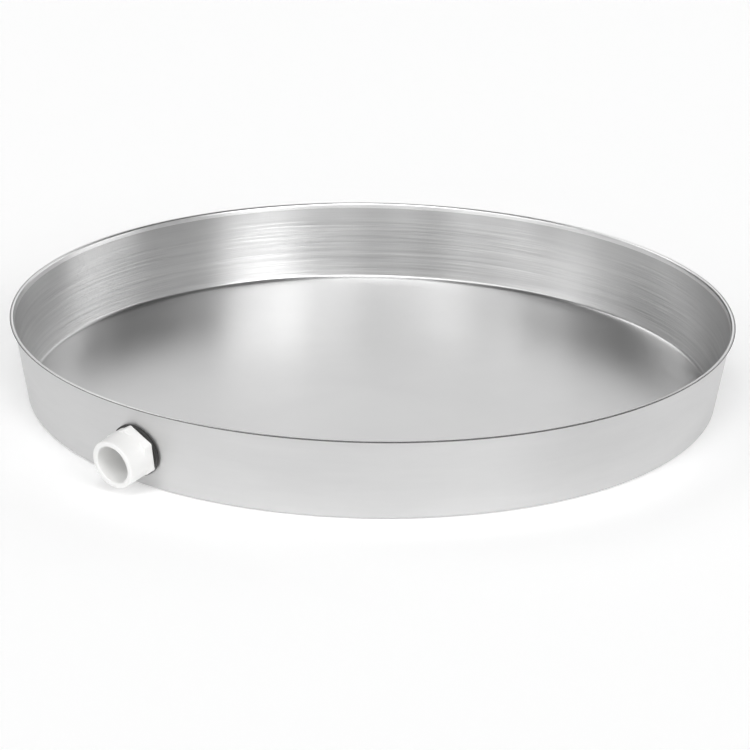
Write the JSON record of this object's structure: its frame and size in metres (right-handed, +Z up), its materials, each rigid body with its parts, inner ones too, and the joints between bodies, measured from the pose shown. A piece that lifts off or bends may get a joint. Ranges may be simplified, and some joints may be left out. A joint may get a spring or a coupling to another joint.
{
  "type": "water heater drain pan",
  "caption": "Shallow round aluminium drain pan with a sloping wall and flared lip, and a white plastic drain adapter clamped through the wall by a rubber gasket and a locknut.",
  "frame": {"origin": "centre of the pan's flat underside, at floor level", "axes": "+Z up out of the pan, and the drain outlet points towards -Y"},
  "size_m": [0.6, 0.6223, 0.0684],
  "materials": {
    "aluminium_sheet": "satin mill finish with fine rings round the wall",
    "white_pvc": "smooth moulded, slightly translucent",
    "black_rubber": "satin"
  },
  "bodies": {
    "pan": {"pan": "aluminium_sheet", "locknut": "white_pvc"},
    "gasket": {"gasket": "black_rubber"},
    "drain_adapter": {"drain_adapter": "white_pvc"}
  },
  "joints": [
    {"name": "gasket_travel", "type": "slide", "parent": "pan", "child": "gasket", "axis": [0, -0.9863, -0.165], "range_m": [0, 0.00994]},
    {"name": "adapter_turn", "type": "hinge", "parent": "gasket", "child": "drain_adapter", "pos_m": [0, -0.29112, 0.0312], "axis": [0, -0.9863, -0.165], "range_deg": [0, 1620]}
  ],
  "couplings": [
    {"joint": "gasket_travel", "follows": "adapter_turn", "m_per_rad": 0.00035152}
  ]
}
